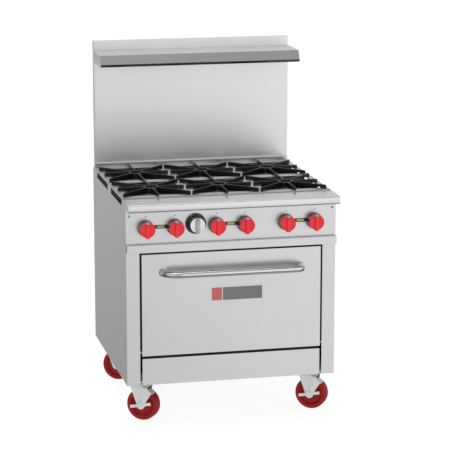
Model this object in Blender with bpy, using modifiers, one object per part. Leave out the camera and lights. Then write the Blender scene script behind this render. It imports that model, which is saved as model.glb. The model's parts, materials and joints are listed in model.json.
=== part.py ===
"""Commercial six-burner gas range with an oven, a riser, a high shelf and swivel casters.

Metres, +Z up. The origin is on the floor below the centre of the bounding box.
X runs to the right, and a depth is measured back from the plane of the front stiles.
"""
import math

import bmesh
import bpy
from mathutils import Matrix, Vector

# Driving dimensions
BODY_W = 0.914
BODY_D = 0.845
BODY_BOTTOM = 0.181
STILE_TOP = 0.798
DECK_Z = 0.981
FRONT_REACH = 0.077
BACK_REACH = 0.855
FACE_Y = -(BACK_REACH - FRONT_REACH) / 2
SHEET = 0.002
GAP = 0.0003
STEP = 0.0002
HALF_W = BODY_W / 2

# Side panels
STILE_W = 0.057
STILE_RETURN = 0.040
REAR_FLANGE = 0.027
TOP_FLANGE = 0.007
VENT_Z = (0.949, 0.9765)
VENT_DEPTHS = ((0.094, 0.368), (0.446, 0.735))

# Front ledge and control panel
NOSE_REACH = 0.071
NOSE_BOTTOM = 0.947
NOSE_RADIUS = 0.006
LEDGE_BACK = 0.0705
PANEL_BOTTOM = 0.8023
PILOT_Z = 0.917
PILOT_HOLE_R = 0.003

# Cooktop: three columns and two rows of open burners
COLUMNS = (-0.300, 0.0, 0.300)
ROWS = (0.2565, 0.604)
FRAME_BOTTOM = DECK_Z - STEP + GAP
FRAME_TOP = 0.9855
FRAME_HALF_W = 0.4520
OPENING_HALF_X = 0.125
OPENING_HALF_Y = 0.147
GRATE_TOP = 0.9965
ARM_W = 0.009
ARM_TIP_X = 0.145
ARM_TIP_Y = 0.1735
ARM_TIP_DIAGONAL_Y = 0.143
DIAGONAL_BELLY = 0.169
BELLY_MARGIN = 0.006
BELLY_DROP = 0.0075
HUB_R = 0.038
HUB_HOLE_R = 0.027
HUB_Z = (0.970, 0.995)
HUB_OVERLAP = 0.004
BURNER_R = 0.052
BURNER_TOP = 0.955
TUBE_R = 0.011
HEAD_PROFILE = ((0, BURNER_TOP), (0.040, BURNER_TOP), (0.046, 0.950), (0.046, 0.944), (BURNER_R, 0.942),
                (BURNER_R, 0.926), (0.018, 0.914), (0.018, 0.882), (0, 0.882))
RAIL_DEPTH = 0.795
RAIL_TOP = 1.003

# Knobs, valves and gas pipe
KNOB_COLUMNS = (-0.304, 0.0, 0.304)
KNOB_OFFSETS = (-0.0665, 0.0585)
KNOB_Z = 0.866
KNOB_R = 0.036
KNOB_BACK = -0.004
KNOB_H = 0.042
GRIP_H = 0.006
THERMOSTAT_R = 0.034
STEM_R = 0.004
STEM_END = -0.012
THERMOSTAT_X = -0.157
THERMOSTAT_Z = 0.878
BEZEL_R = 0.045
PIPE_R = 0.0133
PIPE_DEPTH = 0.055
PIPE_Z = 0.842
FEED_X = 0.405
VALVE_HALF_W = 0.012
VALVE_DEPTHS = (0.014, 0.082)
VALVE_Z = (0.853, 0.880)
JET_R = 0.006
JET_Z = 0.868
JET_END = 0.094
THERMOSTAT_HALF_W = 0.030
THERMOSTAT_DEPTHS = (0.012, 0.058)
THERMOSTAT_BODY_Z = (0.860, 0.906)

# Riser and high shelf
RISER_W = 0.904
RISER_FRONT = 0.813
RISER_BACK = 0.849
RISER_TOP = 1.561
SHELF_HALF_W = 0.4545
SHELF_TOP = 1.520
SHELF_PROFILE = ((0.8127, SHELF_TOP), (0.628, SHELF_TOP), (0.605, 1.478), (0.613, 1.469), (0.8127, 1.466))
SHELF_HOLLOW = ((0.8107, SHELF_TOP - SHEET), (0.6295, SHELF_TOP - SHEET), (0.6073, 1.4784), (0.6146, 1.4705),
                (0.6146, 1.450), (0.8107, 1.450))

# Oven and door
OVEN_HALF_W = 0.360
OVEN_Z = (0.330, 0.720)
OVEN_DEPTHS = (0.0465, 0.740)
RACK_LEVELS = (0.420, 0.520, 0.620)
RIB_W = 0.015
RIB_H = 0.006
RACK_WIRE = 0.006
RACK_LENGTH = 0.560
RACK_MIDDLE = 0.430
RIB_DEPTHS = (0.080, 0.700)
FLANGE_HALF_W = 0.440
FLANGE_Z = (0.300, 0.757)
DECK_LOW = (-0.355, 0.062)
DECK_HIGH = (0.355, 0.732)
DECK_RISE = 0.015
OVEN_BURNER_Z = 0.262
OVEN_BURNER_DEPTHS = (0.110, 0.620)
OVEN_BURNER_R = 0.019
CROSS_R = 0.015
CROSS_HALF_W = 0.220
CROSS_DEPTH = 0.520
POST_DEPTHS = (0.150, 0.560)
POST_HALF_W = 0.006
POST_Z = (0.1858, 0.255)
DOOR_HALF_W = 0.3915
DOOR_Z = (0.309, 0.753)
DOOR_FRONT = -0.004
DOOR_BACK = 0.036
DOOR_AXIS = (0.015, 0.322)
PIN_R = 0.005
PIN_X = (0.380, 0.412)
PIN_HOLE_X = (0.375, 0.400)
PLUG_HALF_W = 0.345
PLUG_Z = (0.360, 0.705)
PLUG_BACK = 0.056
HANDLE_R = 0.015
HANDLE_HALF_W = 0.300
HANDLE_Z = 0.672
HANDLE_BEND = 0.030
KICK_TOP = 0.297
KICK_HALF_W = 0.391
KICK_RETURN = 0.030
BACK_PANEL_Z = (0.185, 0.970)
BASE_BACK = 0.8385
BASE_RIM_Z = 0.2185
HOLE_CLEARANCE = 0.0015

# Drip tray
TRAY_HALF_W = 0.385
TRAY_Z = (0.768, 0.7972)
TRAY_BACK = 0.720
LIP_REACH = 0.021
LIP_Z = (0.764, 0.798)
GUIDE_DEPTHS = (0.050, 0.740)
GUIDE_INNER = 0.370
GUIDE_Z = (0.7657, 0.7677)
FENCE_X = (0.3885, 0.3905)
FENCE_TOP = 0.790

# Casters
WHEEL_STEPS = 20
WHEEL_R = 0.071
WHEEL_HALF_W = 0.025
BORE_R = 0.007
AXLE_R = 0.006
BOLT_HEAD_R = 0.011
AXLE_Z = WHEEL_R * math.cos(math.pi / WHEEL_STEPS)
CASTER_X = 0.377
CASTER_DEPTHS = (0.1055, 0.7355)
CASTER_TRAIL = 0.010
CASTER_TURN = math.radians(-33)
LEG_INNER = 0.0295
LEG_T = 0.003
CROWN_Z = (0.149, 0.153)
LEVER_FACES = (-0.0365, -0.0335)
LEVER_TILT = math.radians(12)

# Colour, roughness and metallic value of each material
STEEL = (0.72, 0.72, 0.71), 0.32, 1.0
PLATED = (0.66, 0.67, 0.66), 0.38, 0.9
ENAMEL = (0.10, 0.11, 0.13), 0.35, 0.0
IRON = (0.03, 0.03, 0.03), 0.60, 0.3
ALUMINISED = (0.55, 0.55, 0.54), 0.50, 0.9
CHROME = (0.80, 0.80, 0.80), 0.12, 1.0
BRASS = (0.60, 0.46, 0.20), 0.30, 1.0
BLACK = (0.02, 0.02, 0.02), 0.40, 0.0
RED_KNOB = (0.90, 0.07, 0.08), 0.35, 0.0
WHITE_KNOB = (0.85, 0.85, 0.85), 0.30, 0.0
RED_WHEEL = (0.38, 0.03, 0.04), 0.45, 0.0


def clear_scene():
    """Remove every object that is in the file."""
    for obj in list(bpy.data.objects):
        bpy.data.objects.remove(obj, do_unlink=True)


def new_collection(name):
    """Make a collection linked to the scene."""
    collection = bpy.data.collections.new(name)
    bpy.context.scene.collection.children.link(collection)
    return collection


def make_material(name, look):
    """Make a Principled material from a colour, a roughness and a metallic value."""
    colour, roughness, metallic = look
    material = bpy.data.materials.new(name)
    material.use_nodes = True
    shader = material.node_tree.nodes["Principled BSDF"]
    shader.inputs["Base Color"].default_value = (*colour, 1.0)
    shader.inputs["Roughness"].default_value = roughness
    shader.inputs["Metallic"].default_value = metallic
    return material


def place(x, depth, z):
    """World position of a point given by its depth behind the front stiles."""
    return Vector((x, FACE_Y + depth, z))


def add_object(name, mesh, look, location=(0, 0, 0), rotation=(0, 0, 0), parent=None):
    """Link a part with its own material to the parts collection."""
    obj = bpy.data.objects.new(name, mesh)
    obj.location = location
    obj.rotation_euler = rotation
    obj.parent = parent
    PARTS.objects.link(obj)
    if not mesh.materials:
        mesh.materials.append(make_material(name, look))
    obj.material_slots[0].link = "OBJECT"
    obj.material_slots[0].material = make_material(name, look)
    return obj


def tool_object(name, mesh):
    """Link a cutter or a joined shape to the cutters collection."""
    obj = bpy.data.objects.new(name, mesh)
    CUTTERS.objects.link(obj)
    obj.hide_render = True
    obj.display_type = "WIRE"
    return obj


def mesh_from(bm, name):
    """Turn a bmesh into a mesh and free it."""
    mesh = bpy.data.meshes.new(name)
    bm.to_mesh(mesh)
    bm.free()
    return mesh


def new_box(low, high):
    """Six faces of a box between two corners, still being edited."""
    bm = bmesh.new()
    size = Vector(high) - Vector(low)
    centre = (Vector(high) + Vector(low)) / 2
    bmesh.ops.create_cube(bm, size=1.0, matrix=Matrix.Translation(centre) @ Matrix.Diagonal((*size, 1.0)))
    return bm


def box_mesh(low, high, name="box"):
    """Box between two corners."""
    return mesh_from(new_box(low, high), name)


def world_box(x, depth, z, name="box"):
    """Box from its ranges in x, depth and z, in world coordinates."""
    return box_mesh(place(x[0], depth[0], z[0]), place(x[1], depth[1], z[1]), name)


def cylinder_mesh(radius, start, end, steps=16, name="cylinder"):
    """Round bar between two points."""
    start = Vector(start)
    axis = Vector(end) - start
    turn = axis.to_track_quat("Z", "Y").to_matrix().to_4x4()
    bm = bmesh.new()
    bmesh.ops.create_cone(bm, cap_ends=True, segments=steps, radius1=radius, radius2=radius,
                          depth=axis.length, matrix=Matrix.Translation(start + axis / 2) @ turn)
    return mesh_from(bm, name)


def open_box_mesh(low, high, open_side, name):
    """Five faces of a box, open on the side that open_side points to."""
    bm = new_box(low, high)
    bm.normal_update()
    lid = [face for face in bm.faces if face.normal.dot(Vector(open_side)) > 0.9]
    bmesh.ops.delete(bm, geom=lid, context="FACES_ONLY")
    return mesh_from(bm, name)


def swept_mesh(path, sweep, name):
    """Open surface made by moving a path of points along a sweep vector."""
    bm = bmesh.new()
    points = [bm.verts.new(point) for point in path]
    edges = [bm.edges.new(pair) for pair in zip(points, points[1:])]
    swept = bmesh.ops.extrude_edge_only(bm, edges=edges)["geom"]
    moved = [item for item in swept if isinstance(item, bmesh.types.BMVert)]
    bmesh.ops.translate(bm, verts=moved, vec=sweep)
    return mesh_from(bm, name)


def flip_mesh(mesh):
    """Turn every face of a mesh over."""
    bm = bmesh.new()
    bm.from_mesh(mesh)
    bmesh.ops.reverse_faces(bm, faces=bm.faces)
    bm.to_mesh(mesh)
    bm.free()
    return mesh


def solidify(obj, thickness=SHEET):
    """Give an open surface its sheet thickness, on the side away from its normals."""
    modifier = obj.modifiers.new("Sheet", "SOLIDIFY")
    modifier.thickness = thickness
    modifier.offset = -1.0
    modifier.use_even_offset = True
    return obj


def combine(obj, mesh, operation):
    """Add a Boolean with a mesh as its operand, placed as the object is."""
    tool = tool_object(f"{obj.name}_{operation.lower()}_{len(obj.modifiers)}", mesh)
    tool.location = obj.location
    tool.rotation_euler = obj.rotation_euler
    tool.parent = obj.parent
    modifier = obj.modifiers.new(operation.title(), "BOOLEAN")
    modifier.operation = operation
    modifier.solver = "EXACT"
    modifier.object = tool
    return obj


def cut(obj, *meshes):
    """Cut meshes out of an object, in the object's own coordinates."""
    for mesh in meshes:
        combine(obj, mesh, "DIFFERENCE")
    return obj


def join(obj, *meshes):
    """Unite meshes with an object, in the object's own coordinates."""
    for mesh in meshes:
        combine(obj, mesh, "UNION")
    return obj


def evaluated_mesh(obj, name):
    """The object's mesh with its modifiers applied and its caps welded."""
    bpy.context.view_layer.update()
    graph = bpy.context.evaluated_depsgraph_get()
    mesh = bpy.data.meshes.new_from_object(obj.evaluated_get(graph))
    mesh.name = name
    bm = bmesh.new()
    bm.from_mesh(mesh)
    bmesh.ops.remove_doubles(bm, verts=bm.verts, dist=1e-6)
    bm.to_mesh(mesh)
    bm.free()
    return mesh


def baked(base_mesh, name, cuts=(), joins=()):
    """One mesh made of a base with other meshes united with it and then cut out of it."""
    work = tool_object(name + "_work", base_mesh)
    join(work, *joins)
    cut(work, *cuts)
    mesh = evaluated_mesh(work, name)
    for modifier in list(work.modifiers):
        bpy.data.objects.remove(modifier.object, do_unlink=True)
    bpy.data.objects.remove(work, do_unlink=True)
    mesh.materials.clear()
    return mesh


def smooth(mesh, angle=35):
    """Shade a mesh smooth with sharp edges past an angle."""
    mesh.shade_smooth()
    mesh.set_sharp_from_angle(angle=math.radians(angle))
    return mesh


def lathe_mesh(profile, name, steps=20, closed=False):
    """Turn a profile of radius and height about Z with a Screw modifier."""
    bm = bmesh.new()
    points = [bm.verts.new((radius, 0.0, height)) for radius, height in profile]
    pairs = list(zip(points, points[1:]))
    if closed:
        pairs.append((points[-1], points[0]))
    for pair in pairs:
        bm.edges.new(pair)
    work = tool_object(name + "_profile", mesh_from(bm, name))
    screw = work.modifiers.new("Turn", "SCREW")
    screw.steps = steps
    screw.render_steps = steps
    screw.use_merge_vertices = True
    screw.merge_threshold = 0.00001
    mesh = evaluated_mesh(work, name)
    bpy.data.objects.remove(work, do_unlink=True)
    return smooth(mesh)


def plate_mesh(outline, faces, name):
    """Flat plate cut to an outline in X and Z, between two values of Y."""
    curve = bpy.data.curves.new(name, "CURVE")
    curve.dimensions = "2D"
    curve.fill_mode = "BOTH"
    curve.extrude = (faces[1] - faces[0]) / 2
    spline = curve.splines.new("POLY")
    spline.points.add(len(outline) - 1)
    for point, (x, z) in zip(spline.points, outline):
        point.co = (x, z, 0.0, 1.0)
    spline.use_cyclic_u = True
    work = tool_object(name + "_outline", curve)
    mesh = evaluated_mesh(work, name)
    bpy.data.objects.remove(work, do_unlink=True)
    mesh.transform(Matrix.Translation((0, sum(faces) / 2, 0)) @ Matrix.Rotation(math.pi / 2, 4, "X"))
    return mesh


def tube_mesh(route, radius, name, resolution=2):
    """Solid round bar along a route of points."""
    curve = bpy.data.curves.new(name, "CURVE")
    curve.dimensions = "3D"
    curve.bevel_depth = radius
    curve.bevel_resolution = resolution
    curve.use_fill_caps = True
    spline = curve.splines.new("POLY")
    spline.points.add(len(route) - 1)
    for point, place_on_route in zip(spline.points, route):
        point.co = (*place_on_route, 1.0)
    work = tool_object(name + "_route", curve)
    mesh = evaluated_mesh(work, name)
    bpy.data.objects.remove(work, do_unlink=True)
    return smooth(mesh)


def arc(centre, radius, start, end, count):
    """Points on an arc in a plane, with its angles in degrees."""
    angles = [math.radians(start + (end - start) * i / (count - 1)) for i in range(count)]
    return [(centre[0] + radius * math.cos(a), centre[1] + radius * math.sin(a)) for a in angles]


def knob_positions():
    """The x positions of the six burner knobs from left to right."""
    return [column + offset for column in KNOB_COLUMNS for offset in KNOB_OFFSETS]


def build_side_panels():
    """Left and right side panels, each with a front stile, a rear flange and two vents."""
    for name, side in (("side_panel_left", -1), ("side_panel_right", 1)):
        outer = side * HALF_W
        stile = side * (HALF_W - STILE_W)
        path = [place(stile, STILE_RETURN, BODY_BOTTOM), place(stile, 0, BODY_BOTTOM),
                place(outer, 0, BODY_BOTTOM), place(outer, BODY_D, BODY_BOTTOM),
                place(side * (HALF_W - REAR_FLANGE), BODY_D, BODY_BOTTOM)]
        mesh = swept_mesh(path, (0, 0, DECK_Z - BODY_BOTTOM), name)
        panel = solidify(add_object(name, flip_mesh(mesh) if side > 0 else mesh, STEEL))
        span = sorted((side * (HALF_W - STEP), side * (HALF_W - TOP_FLANGE)))
        flange_z = (DECK_Z - SHEET, DECK_Z - STEP)
        join(panel, world_box(span, (LEDGE_BACK + 2 * GAP, BODY_D - STEP), flange_z))
        wall = sorted((side * (HALF_W + 0.003), side * (HALF_W - 0.08)))
        inner = sorted((side * (HALF_W - SHEET - 0.0001), side * (HALF_W - 0.08)))
        cut(panel, world_box(wall, (-0.01, SHEET + GAP), (STILE_TOP, 1.0)))
        cut(panel, world_box(inner, (-0.011, STILE_RETURN + 0.001), (STILE_TOP, 1.001)))
        cut(panel, world_box(wall, (-0.012, LEDGE_BACK + GAP), (DECK_Z - SHEET - GAP, 1.002)))
        skin = sorted((side * (HALF_W + 0.002), side * (HALF_W - 0.006)))
        for depths in VENT_DEPTHS:
            cut(panel, world_box(skin, depths, VENT_Z))
        pin = sorted((side * PIN_X[0], side * PIN_X[1]))
        cut(panel, pin_mesh(pin, PIN_R + GAP))


def pin_mesh(span, radius):
    """Round bar along X on the door's axis."""
    return cylinder_mesh(radius, place(span[0], *DOOR_AXIS), place(span[1], *DOOR_AXIS), 16, "pin")


def build_casing():
    """Back panel, base pan, kick panel and control panel."""
    back = (BODY_D - 2 * SHEET - GAP, BODY_D - SHEET - GAP)
    inside = HALF_W - SHEET - 2 * GAP
    panel = add_object("back_panel", world_box((-inside, inside), back, BACK_PANEL_Z), STEEL)
    cut(panel, cylinder_mesh(PIPE_R + 0.003, place(FEED_X, 0.8, PIPE_Z), place(FEED_X, 0.9, PIPE_Z)))
    low = place(-inside, STILE_RETURN + 0.0025, BODY_BOTTOM + 0.0025)
    high = place(inside, BASE_BACK, BASE_RIM_Z)
    solidify(add_object("base_pan", open_box_mesh(low, high, (0, 0, 1), "base_pan"), ALUMINISED))
    edges = ((KICK_RETURN, KICK_TOP), (0, KICK_TOP), (0, BODY_BOTTOM + GAP), (KICK_RETURN, BODY_BOTTOM + GAP))
    kick = [place(-KICK_HALF_W, depth, z) for depth, z in edges]
    mesh = swept_mesh(kick, (2 * KICK_HALF_W, 0, 0), "kick_panel")
    solidify(add_object("kick_panel", flip_mesh(mesh), STEEL))
    top = DECK_Z - SHEET - GAP
    front = world_box((-HALF_W, HALF_W), (0, SHEET), (PANEL_BOTTOM, top))
    control = add_object("control_panel", front, STEEL)
    for x in knob_positions():
        cut(control, panel_hole(x, KNOB_Z, STEM_R + HOLE_CLEARANCE))
        cut(control, panel_hole(x, PILOT_Z, PILOT_HOLE_R))
    cut(control, panel_hole(THERMOSTAT_X, THERMOSTAT_Z, STEM_R + HOLE_CLEARANCE))


def panel_hole(x, z, radius):
    """Cutter for a round hole through the control panel."""
    return cylinder_mesh(radius, place(x, -0.01, z), place(x, 0.01, z), 8, "hole")


def build_front_ledge():
    """Top ledge with a rolled nose and closed ends."""
    drop = DECK_Z - NOSE_RADIUS
    front = NOSE_RADIUS - NOSE_REACH
    top_roll = arc((front, drop), NOSE_RADIUS, 90, 180, 5)
    low_roll = arc((front, NOSE_BOTTOM + NOSE_RADIUS), NOSE_RADIUS, 180, 270, 5)
    profile = [(LEDGE_BACK, DECK_Z), *top_roll, *low_roll, (-GAP, NOSE_BOTTOM)]
    path = [place(-HALF_W, depth, z) for depth, z in profile]
    ledge = add_object("front_ledge", flip_mesh(swept_mesh(path, (BODY_W, 0, 0), "front_ledge")), STEEL)
    solidify(ledge)
    inset = SHEET / 2
    end = [*arc((front, drop), NOSE_RADIUS - inset, 90, 180, 5),
           *arc((front, NOSE_BOTTOM + NOSE_RADIUS), NOSE_RADIUS - inset, 180, 270, 5),
           (-0.001, NOSE_BOTTOM + inset), (-0.001, DECK_Z - inset)]
    for side in (-1, 1):
        faces = sorted((side * (HALF_W - GAP), side * (HALF_W - GAP - SHEET)))
        join(ledge, depth_plate(end, faces))


def depth_plate(outline, faces):
    """Plate cut to an outline in depth and Z, between two values of X."""
    mesh = plate_mesh(outline, (-faces[1], -faces[0]), "plate")
    mesh.transform(Matrix.Translation((0, FACE_Y, 0)) @ Matrix.Rotation(math.pi / 2, 4, "Z"))
    return mesh


def build_cooktop():
    """Top frame with six openings, and the rail in front of the riser."""
    depths = (LEDGE_BACK + GAP, RAIL_DEPTH - 0.0005)
    plate = world_box((-FRAME_HALF_W, FRAME_HALF_W), depths, (FRAME_BOTTOM, FRAME_TOP))
    frame = add_object("burner_frame", plate, STEEL)
    for column in COLUMNS:
        for row in ROWS:
            x = (column - OPENING_HALF_X, column + OPENING_HALF_X)
            depth = (row - OPENING_HALF_Y, row + OPENING_HALF_Y)
            cut(frame, world_box(x, depth, (FRAME_TOP - 0.01, FRAME_TOP + 0.01)))
    half = HALF_W - TOP_FLANGE - 0.0005
    path = [place(-half, RISER_FRONT - GAP, RAIL_TOP), place(-half, RAIL_DEPTH, RAIL_TOP),
            place(-half, RAIL_DEPTH, FRAME_BOTTOM)]
    rail = swept_mesh(path, (2 * half, 0, 0), "rear_rail")
    solidify(add_object("rear_rail", flip_mesh(rail), STEEL), 0.0015)


def grate_arm(tip, belly_end, angle):
    """One arm of a grate, from its hub out to a foot on the top frame."""
    start = HUB_R - HUB_OVERLAP
    foot = FRAME_TOP + GAP
    belly = FRAME_TOP - BELLY_DROP
    outline = [(start, HUB_Z[0] - 0.001), (belly_end - 0.010, belly), (belly_end, foot), (tip, foot),
               (tip, GRATE_TOP - 0.002), (tip - 0.002, GRATE_TOP), (start, GRATE_TOP)]
    mesh = plate_mesh(outline, (-ARM_W / 2, ARM_W / 2), "grate_arm")
    mesh.transform(Matrix.Rotation(angle, 4, "Z"))
    return mesh


def build_grates():
    """Six lift-off cast grates, each with eight arms about a hub ring."""
    slant = math.atan2(ARM_TIP_DIAGONAL_Y, ARM_TIP_X)
    reach = math.hypot(ARM_TIP_DIAGONAL_Y, ARM_TIP_X)
    arms = []
    for quarter in (0, math.pi):
        arms.append(grate_arm(ARM_TIP_X, OPENING_HALF_X - BELLY_MARGIN, quarter))
        arms.append(grate_arm(ARM_TIP_Y, OPENING_HALF_Y - BELLY_MARGIN, quarter + math.pi / 2))
        arms.append(grate_arm(reach, DIAGONAL_BELLY, quarter + slant))
        arms.append(grate_arm(reach, DIAGONAL_BELLY, quarter - slant))
    hub = [(HUB_HOLE_R, HUB_Z[1]), (HUB_R, HUB_Z[1]), (HUB_R, HUB_Z[0]), (HUB_HOLE_R, HUB_Z[0])]
    mesh = baked(lathe_mesh(hub, "grate_hub", 16, closed=True), "grate", joins=arms)
    number = 1
    for row in ROWS:
        for column in COLUMNS:
            add_object(f"grate_{number}", mesh, IRON, place(column, row, 0))
            number += 1


def build_burners():
    """Six open burners, each with a cast head and a mixing tube from its valve."""
    knobs = knob_positions()
    for index, column in enumerate(COLUMNS):
        rear_valve = knobs[2 * index]
        front_valve = knobs[2 * index + 1]
        for number, row, valve in ((index + 1, ROWS[1], rear_valve), (index + 4, ROWS[0], front_valve)):
            aside = valve - column
            route = [(aside, 0.097 - row, 0.868), (aside, 0.150 - row, 0.873),
                     (aside, -0.110, 0.875), (aside * 0.75, -0.070, 0.880),
                     (aside * 0.30, -0.030, 0.890), (0, 0, 0.893)]
            if row == ROWS[0]:
                bend = [(aside * 0.95, 0.140 - row, 0.872), (aside * 0.7, -0.070, 0.880)]
                route = [route[0], *bend, *route[4:]]
            tube = tube_mesh(route, TUBE_R, "mixing_tube", 1)
            mesh = baked(lathe_mesh(HEAD_PROFILE, "burner_head", 16), f"burner_{number}", joins=[tube])
            add_object(f"burner_{number}", mesh, IRON, place(column, row, 0))


def build_gas_parts():
    """Manifold pipe with six valves and its feed, and the oven thermostat."""
    start = place(-0.402, PIPE_DEPTH, PIPE_Z)
    corner = place(FEED_X + PIPE_R, PIPE_DEPTH, PIPE_Z)
    pipe = cylinder_mesh(PIPE_R, start, corner, 12)
    feed = cylinder_mesh(PIPE_R, place(FEED_X, PIPE_DEPTH, PIPE_Z), place(FEED_X, BACK_REACH, PIPE_Z), 12)
    joins = [feed]
    for x in knob_positions():
        joins.append(world_box((x - VALVE_HALF_W, x + VALVE_HALF_W), VALVE_DEPTHS, VALVE_Z))
        inside = VALVE_DEPTHS[0] + SHEET
        joins.append(cylinder_mesh(STEM_R, place(x, STEM_END, KNOB_Z), place(x, inside, KNOB_Z), 10))
        rear = VALVE_DEPTHS[1] - SHEET
        joins.append(cylinder_mesh(JET_R, place(x, rear, JET_Z), place(x, JET_END, JET_Z), 10))
    add_object("gas_manifold", baked(pipe, "gas_manifold", joins=joins), BRASS)
    x = THERMOSTAT_X
    body = world_box((x - THERMOSTAT_HALF_W, x + THERMOSTAT_HALF_W), THERMOSTAT_DEPTHS, THERMOSTAT_BODY_Z)
    inside = THERMOSTAT_DEPTHS[0] + SHEET
    stem = cylinder_mesh(STEM_R, place(x, STEM_END, THERMOSTAT_Z), place(x, inside, THERMOSTAT_Z), 10)
    add_object("oven_thermostat", baked(body, "oven_thermostat", joins=[stem]), ALUMINISED)
    ring = [(0.006, 0.003), (BEZEL_R - 0.001, 0.003), (BEZEL_R, 0.002), (BEZEL_R, 0), (0.006, 0)]
    bezel = lathe_mesh(ring, "thermostat_bezel", 24, closed=True)
    add_object("thermostat_bezel", bezel, BLACK, place(x, -GAP, THERMOSTAT_Z), (math.pi / 2, 0, 0))


def knob_mesh(radius, name):
    """Round knob with a grip bar and a blind bore for its stem, turned about Z."""
    profile = [(0, KNOB_H), (radius - 0.004, KNOB_H), (radius - 0.001, KNOB_H - 0.003), (radius, 0.004),
               (radius, 0), (STEM_R + 0.0006, 0), (STEM_R + 0.0006, 0.010), (0, 0.010)]
    grip = box_mesh((-0.006, -radius, KNOB_H - 0.003), (0.006, radius, KNOB_H + GRIP_H))
    return baked(lathe_mesh(profile, name, 20), name, joins=[grip])


def build_knobs():
    """Six burner knobs and the thermostat knob, each with its origin on its stem."""
    turned = (math.pi / 2, 0, 0)
    mesh = knob_mesh(KNOB_R, "burner_knob")
    for number, x in enumerate(knob_positions(), start=1):
        add_object(f"burner_knob_{number}", mesh, RED_KNOB, place(x, KNOB_BACK, KNOB_Z), turned)
    spot = place(THERMOSTAT_X, KNOB_BACK - GAP, THERMOSTAT_Z)
    add_object("thermostat_knob", knob_mesh(THERMOSTAT_R, "thermostat_knob"), WHITE_KNOB, spot, turned)


def build_riser():
    """Hollow riser open at the bottom, and the folded high shelf on its front."""
    half = RISER_W / 2
    bottom = DECK_Z + GAP
    low = place(-half, RISER_FRONT, bottom)
    high = place(half, RISER_BACK, RISER_TOP)
    solidify(add_object("backsplash", open_box_mesh(low, high, (0, 0, -1), "backsplash"), STEEL))
    shelf = depth_plate(SHELF_PROFILE, (-SHELF_HALF_W, SHELF_HALF_W))
    hollow = depth_plate(SHELF_HOLLOW, (SHEET - SHELF_HALF_W, SHELF_HALF_W - SHEET))
    cut(add_object("high_shelf", shelf, STEEL), hollow)


def build_oven():
    """Oven liner with rack guides, its deck, its rack and the burner below it."""
    wall = OVEN_HALF_W + SHEET
    front, back = OVEN_DEPTHS
    shell = world_box((-wall, wall), (front, back + SHEET), (OVEN_Z[0] - SHEET, OVEN_Z[1] + SHEET))
    liner = add_object("oven_liner", shell, ENAMEL)
    join(liner, world_box((-FLANGE_HALF_W, FLANGE_HALF_W), (front, front + SHEET), FLANGE_Z))
    cut(liner, world_box((-OVEN_HALF_W, OVEN_HALF_W), (front - 0.01, back), OVEN_Z))
    for level in RACK_LEVELS:
        for side in (-1, 1):
            x = sorted((side * (OVEN_HALF_W + 0.001), side * (OVEN_HALF_W - RIB_W)))
            join(liner, world_box(x, RIB_DEPTHS, (level, level + RIB_H)))
    low = place(*DECK_LOW, OVEN_Z[0] + GAP)
    high = place(*DECK_HIGH, OVEN_Z[0] + DECK_RISE)
    solidify(add_object("oven_deck", open_box_mesh(low, high, (0, 0, -1), "oven_deck"), ENAMEL))
    build_rack()
    ends = [place(0, depth, OVEN_BURNER_Z) for depth in OVEN_BURNER_DEPTHS]
    tube = cylinder_mesh(OVEN_BURNER_R, *ends, 12)
    ends = [place(side * CROSS_HALF_W, CROSS_DEPTH, OVEN_BURNER_Z) for side in (-1, 1)]
    cross = cylinder_mesh(CROSS_R, *ends, 12)
    post_x = (-POST_HALF_W, POST_HALF_W)
    posts = [world_box(post_x, (depth, depth + 0.020), POST_Z) for depth in POST_DEPTHS]
    add_object("oven_burner", baked(tube, "oven_burner", joins=[cross, *posts]), ALUMINISED)


def build_rack():
    """Wire oven rack on the middle guides."""
    bm = bmesh.new()
    width = 2 * (OVEN_HALF_W - 0.008)
    shape = Matrix.Diagonal((width / 2, RACK_LENGTH / 2, 1.0, 1.0))
    bmesh.ops.create_grid(bm, x_segments=12, y_segments=2, size=1.0, matrix=shape)
    height = RACK_LEVELS[1] + RIB_H + RACK_WIRE / 2 + GAP
    rack = add_object("oven_rack", mesh_from(bm, "oven_rack"), CHROME, place(0, RACK_MIDDLE, height))
    wires = rack.modifiers.new("Wires", "WIREFRAME")
    wires.thickness = RACK_WIRE
    wires.use_boundary = True
    wires.use_replace = True


def build_drip_tray():
    """Pull-out drip tray with a full-width front lip, and its two guides."""
    path = [place(-HALF_W, -GAP, LIP_Z[1]), place(-HALF_W, -LIP_REACH, LIP_Z[1]),
            place(-HALF_W, -LIP_REACH, LIP_Z[0]), place(-HALF_W, -GAP, LIP_Z[0])]
    lip = solidify(tool_object("lip_work", flip_mesh(swept_mesh(path, (BODY_W, 0, 0), "lip"))))
    low = place(-TRAY_HALF_W, -0.004, TRAY_Z[0])
    high = place(TRAY_HALF_W, TRAY_BACK, TRAY_Z[1])
    pan = solidify(tool_object("pan_work", open_box_mesh(low, high, (0, 0, 1), "pan")))
    mesh = baked(evaluated_mesh(pan, "pan"), "drip_tray", joins=[evaluated_mesh(lip, "lip")])
    bpy.data.objects.remove(lip, do_unlink=True)
    bpy.data.objects.remove(pan, do_unlink=True)
    add_object("drip_tray", mesh, STEEL)
    for name, side in (("tray_guide_left", -1), ("tray_guide_right", 1)):
        shelf = sorted((side * GUIDE_INNER, side * (HALF_W - SHEET - GAP)))
        fence = sorted(side * x for x in FENCE_X)
        base = world_box(shelf, GUIDE_DEPTHS, GUIDE_Z)
        guide = add_object(name, base, ALUMINISED)
        fence_depths = (GUIDE_DEPTHS[0] + 0.001, GUIDE_DEPTHS[1] - 0.001)
        join(guide, world_box(fence, fence_depths, (GUIDE_Z[0] + 0.0013, FENCE_TOP)))


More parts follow.
